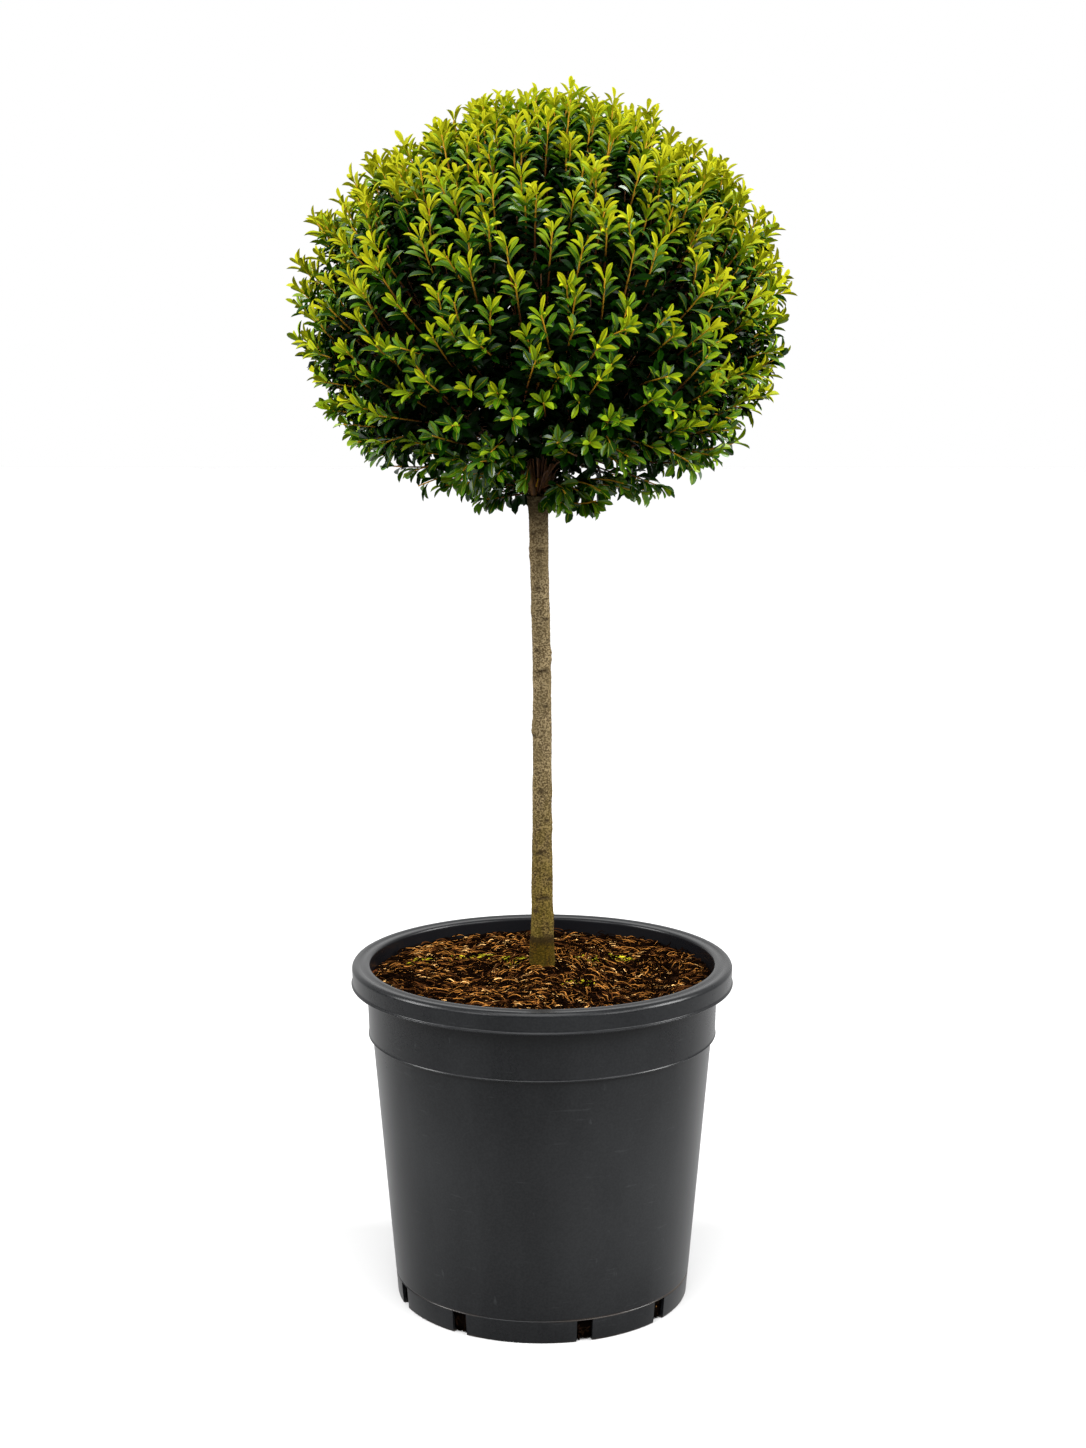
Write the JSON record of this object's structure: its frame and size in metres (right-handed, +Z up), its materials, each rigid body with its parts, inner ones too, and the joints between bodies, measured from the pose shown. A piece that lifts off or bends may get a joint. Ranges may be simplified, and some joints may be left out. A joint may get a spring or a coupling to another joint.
{
  "type": "potted ball standard topiary",
  "caption": "Clipped ball of small evergreen leaves on a clear straight trunk, with short boughs under the ball, standing in a round black nursery pot filled with bark potting mix.",
  "frame": {"origin": "centre of the pot's flat underside, where the plant stands on the ground", "axes": "+Z up along the pot's axis and the trunk; -Y faces the viewer of the picture, +X to the viewer's right"},
  "size_m": [0.4421, 0.4373, 1.1224],
  "materials": {
    "pot_plastic": "matt black moulded plastic with faint scuffs",
    "potting_mix": "coarse dark brown bark fibre",
    "bark": "grey-brown bark with short pale pores, mossy at the foot",
    "young_bark": "smooth orange-brown young bark",
    "foliage": "glossy small leaves, yellow-green at the shoot tips"
  },
  "bodies": {
    "root": {"pot": "pot_plastic", "potting_mix": "potting_mix", "trunk": "bark", "leader": "young_bark", "bough_1": "young_bark", "bough_2": "young_bark", "bough_3": "young_bark", "bough_4": "young_bark", "bough_5": "young_bark", "foliage_ball": "foliage"}
  },
  "joints": []
}
